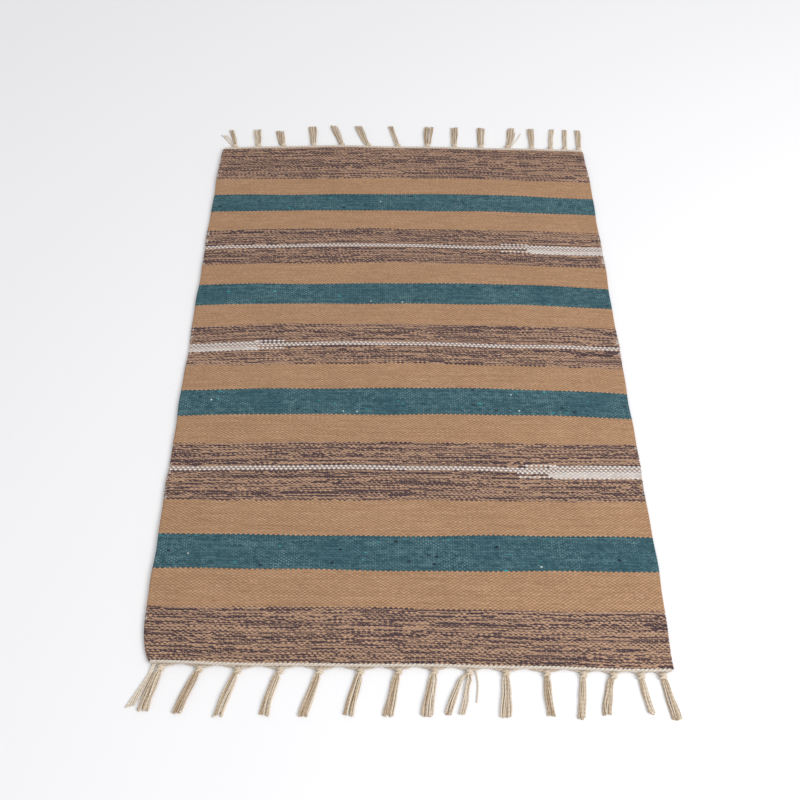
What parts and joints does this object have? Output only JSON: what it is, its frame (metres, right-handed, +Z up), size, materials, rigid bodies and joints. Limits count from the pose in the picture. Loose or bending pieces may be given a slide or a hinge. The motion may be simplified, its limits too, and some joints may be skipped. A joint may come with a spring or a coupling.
{
  "type": "bath mat",
  "caption": "Flat rectangular hand-woven cotton mat with cross stripes and a knotted tassel fringe at each end, folding across its middle.",
  "frame": {"origin": "underside of the mat, at the middle of its weave", "axes": "+Y along the mat's length towards the far tassels, +X across it, +Z up out of its face"},
  "size_m": [0.6002, 1.0203, 0.0064],
  "materials": {
    "melange_weft": "two-colour tan and dark cotton weft, weft-faced weave, matt",
    "tan_weft": "tan cotton weft, weft-faced weave, matt",
    "teal_weft": "teal cotton weft with light flecks, weft-faced weave, matt",
    "white_weft": "thick soft white cotton weft, matt",
    "heading_cord": "undyed cream cotton cord, twined, matt",
    "warp_yarn": "undyed cream cotton warp, matt",
    "tassel_yarn": "undyed cream plied cotton yarn, knotted, loose ends, matt"
  },
  "bodies": {
    "near_half": {"heading_near": "heading_cord", "melange_band_1": "melange_weft", "tan_band_1": "tan_weft", "teal_band_1": "teal_weft", "tan_band_2": "tan_weft", "melange_band_2_near": "melange_weft", "white_weft_1": "white_weft", "melange_band_2_far": "melange_weft", "tan_band_3": "tan_weft", "teal_band_2": "teal_weft", "tan_band_4": "tan_weft", "melange_band_3_near": "melange_weft", "warp_near": "warp_yarn"},
    "far_half": {"melange_band_3_middle": "melange_weft", "white_weft_2": "white_weft", "melange_band_3_far": "melange_weft", "tan_band_5": "tan_weft", "teal_band_3": "teal_weft", "tan_band_6": "tan_weft", "melange_band_4_near": "melange_weft", "white_weft_3": "white_weft", "melange_band_4_far": "melange_weft", "tan_band_7": "tan_weft", "teal_band_4": "teal_weft", "tan_band_8": "tan_weft", "melange_band_5": "melange_weft", "heading_far": "heading_cord", "warp_far": "warp_yarn"},
    "near_tassel_01": {"near_tassel_01": "tassel_yarn"},
    "near_tassel_02": {"near_tassel_02": "tassel_yarn"},
    "near_tassel_03": {"near_tassel_03": "tassel_yarn"},
    "near_tassel_04": {"near_tassel_04": "tassel_yarn"},
    "near_tassel_05": {"near_tassel_05": "tassel_yarn"},
    "near_tassel_06": {"near_tassel_06": "tassel_yarn"},
    "near_tassel_07": {"near_tassel_07": "tassel_yarn"},
    "near_tassel_08": {"near_tassel_08": "tassel_yarn"},
    "near_tassel_09": {"near_tassel_09": "tassel_yarn"},
    "near_tassel_10": {"near_tassel_10": "tassel_yarn"},
    "near_tassel_11": {"near_tassel_11": "tassel_yarn"},
    "near_tassel_12": {"near_tassel_12": "tassel_yarn"},
    "near_tassel_13": {"near_tassel_13": "tassel_yarn"},
    "near_tassel_14": {"near_tassel_14": "tassel_yarn"},
    "near_tassel_15": {"near_tassel_15": "tassel_yarn"},
    "far_tassel_01": {"far_tassel_01": "tassel_yarn"},
    "far_tassel_02": {"far_tassel_02": "tassel_yarn"},
    "far_tassel_03": {"far_tassel_03": "tassel_yarn"},
    "far_tassel_04": {"far_tassel_04": "tassel_yarn"},
    "far_tassel_05": {"far_tassel_05": "tassel_yarn"},
    "far_tassel_06": {"far_tassel_06": "tassel_yarn"},
    "far_tassel_07": {"far_tassel_07": "tassel_yarn"},
    "far_tassel_08": {"far_tassel_08": "tassel_yarn"},
    "far_tassel_09": {"far_tassel_09": "tassel_yarn"},
    "far_tassel_10": {"far_tassel_10": "tassel_yarn"},
    "far_tassel_11": {"far_tassel_11": "tassel_yarn"},
    "far_tassel_12": {"far_tassel_12": "tassel_yarn"},
    "far_tassel_13": {"far_tassel_13": "tassel_yarn"},
    "far_tassel_14": {"far_tassel_14": "tassel_yarn"},
    "far_tassel_15": {"far_tassel_15": "tassel_yarn"}
  },
  "joints": [
    {"name": "centre_fold", "type": "hinge", "parent": "near_half", "child": "far_half", "pos_m": [0, 0, 0.0067], "axis": [1, 0, 0], "range_deg": [0, 180]},
    {"name": "near_tassel_01_swing", "type": "hinge", "parent": "near_half", "child": "near_tassel_01", "pos_m": [-0.2721, -0.4525, 0], "axis": [0, 0, 1], "range_deg": [-10, 10]},
    {"name": "near_tassel_02_swing", "type": "hinge", "parent": "near_half", "child": "near_tassel_02", "pos_m": [-0.2295, -0.4525, 0], "axis": [0, 0, 1], "range_deg": [-10, 10]},
    {"name": "near_tassel_03_swing", "type": "hinge", "parent": "near_half", "child": "near_tassel_03", "pos_m": [-0.1869, -0.4525, 0], "axis": [0, 0, 1], "range_deg": [-10, 10]},
    {"name": "near_tassel_04_swing", "type": "hinge", "parent": "near_half", "child": "near_tassel_04", "pos_m": [-0.1401, -0.4525, 0], "axis": [0, 0, 1], "range_deg": [-10, 10]},
    {"name": "near_tassel_05_swing", "type": "hinge", "parent": "near_half", "child": "near_tassel_05", "pos_m": [-0.0963, -0.4525, 0], "axis": [0, 0, 1], "range_deg": [-10, 10]},
    {"name": "near_tassel_06_swing", "type": "hinge", "parent": "near_half", "child": "near_tassel_06", "pos_m": [-0.0513, -0.4525, 0], "axis": [0, 0, 1], "range_deg": [-10, 10]},
    {"name": "near_tassel_07_swing", "type": "hinge", "parent": "near_half", "child": "near_tassel_07", "pos_m": [-0.009, -0.4525, 0], "axis": [0, 0, 1], "range_deg": [-10, 10]},
    {"name": "near_tassel_08_swing", "type": "hinge", "parent": "near_half", "child": "near_tassel_08", "pos_m": [0.0309, -0.4525, 0], "axis": [0, 0, 1], "range_deg": [-10, 10]},
    {"name": "near_tassel_09_swing", "type": "hinge", "parent": "near_half", "child": "near_tassel_09", "pos_m": [0.0696, -0.4525, 0], "axis": [0, 0, 1], "range_deg": [-10, 10]},
    {"name": "near_tassel_10_swing", "type": "hinge", "parent": "near_half", "child": "near_tassel_10", "pos_m": [0.1101, -0.4525, 0], "axis": [0, 0, 1], "range_deg": [-10, 10]},
    {"name": "near_tassel_11_swing", "type": "hinge", "parent": "near_half", "child": "near_tassel_11", "pos_m": [0.1554, -0.4525, 0], "axis": [0, 0, 1], "range_deg": [-10, 10]},
    {"name": "near_tassel_12_swing", "type": "hinge", "parent": "near_half", "child": "near_tassel_12", "pos_m": [0.1962, -0.4525, 0], "axis": [0, 0, 1], "range_deg": [-10, 10]},
    {"name": "near_tassel_13_swing", "type": "hinge", "parent": "near_half", "child": "near_tassel_13", "pos_m": [0.2292, -0.4525, 0], "axis": [0, 0, 1], "range_deg": [-10, 10]},
    {"name": "near_tassel_14_swing", "type": "hinge", "parent": "near_half", "child": "near_tassel_14", "pos_m": [0.2598, -0.4525, 0], "axis": [0, 0, 1], "range_deg": [-10, 10]},
    {"name": "near_tassel_15_swing", "type": "hinge", "parent": "near_half", "child": "near_tassel_15", "pos_m": [0.2841, -0.4525, 0], "axis": [0, 0, 1], "range_deg": [-10, 10]},
    {"name": "far_tassel_01_swing", "type": "hinge", "parent": "far_half", "child": "far_tassel_01", "pos_m": [-0.2775, 0.4525, 0], "axis": [0, 0, 1], "range_deg": [-10, 10]},
    {"name": "far_tassel_02_swing", "type": "hinge", "parent": "far_half", "child": "far_tassel_02", "pos_m": [-0.2388, 0.4525, 0], "axis": [0, 0, 1], "range_deg": [-10, 10]},
    {"name": "far_tassel_03_swing", "type": "hinge", "parent": "far_half", "child": "far_tassel_03", "pos_m": [-0.198, 0.4525, 0], "axis": [0, 0, 1], "range_deg": [-10, 10]},
    {"name": "far_tassel_04_swing", "type": "hinge", "parent": "far_half", "child": "far_tassel_04", "pos_m": [-0.1479, 0.4525, 0], "axis": [0, 0, 1], "range_deg": [-10, 10]},
    {"name": "far_tassel_05_swing", "type": "hinge", "parent": "far_half", "child": "far_tassel_05", "pos_m": [-0.1011, 0.4525, 0], "axis": [0, 0, 1], "range_deg": [-10, 10]},
    {"name": "far_tassel_06_swing", "type": "hinge", "parent": "far_half", "child": "far_tassel_06", "pos_m": [-0.0576, 0.4525, 0], "axis": [0, 0, 1], "range_deg": [-10, 10]},
    {"name": "far_tassel_07_swing", "type": "hinge", "parent": "far_half", "child": "far_tassel_07", "pos_m": [-0.009, 0.4525, 0], "axis": [0, 0, 1], "range_deg": [-10, 10]},
    {"name": "far_tassel_08_swing", "type": "hinge", "parent": "far_half", "child": "far_tassel_08", "pos_m": [0.0399, 0.4525, 0], "axis": [0, 0, 1], "range_deg": [-10, 10]},
    {"name": "far_tassel_09_swing", "type": "hinge", "parent": "far_half", "child": "far_tassel_09", "pos_m": [0.0849, 0.4525, 0], "axis": [0, 0, 1], "range_deg": [-10, 10]},
    {"name": "far_tassel_10_swing", "type": "hinge", "parent": "far_half", "child": "far_tassel_10", "pos_m": [0.1284, 0.4525, 0], "axis": [0, 0, 1], "range_deg": [-10, 10]},
    {"name": "far_tassel_11_swing", "type": "hinge", "parent": "far_half", "child": "far_tassel_11", "pos_m": [0.1725, 0.4525, 0], "axis": [0, 0, 1], "range_deg": [-10, 10]},
    {"name": "far_tassel_12_swing", "type": "hinge", "parent": "far_half", "child": "far_tassel_12", "pos_m": [0.213, 0.4525, 0], "axis": [0, 0, 1], "range_deg": [-10, 10]},
    {"name": "far_tassel_13_swing", "type": "hinge", "parent": "far_half", "child": "far_tassel_13", "pos_m": [0.2439, 0.4525, 0], "axis": [0, 0, 1], "range_deg": [-10, 10]},
    {"name": "far_tassel_14_swing", "type": "hinge", "parent": "far_half", "child": "far_tassel_14", "pos_m": [0.2676, 0.4525, 0], "axis": [0, 0, 1], "range_deg": [-10, 10]},
    {"name": "far_tassel_15_swing", "type": "hinge", "parent": "far_half", "child": "far_tassel_15", "pos_m": [0.2901, 0.4525, 0], "axis": [0, 0, 1], "range_deg": [-10, 10]}
  ]
}
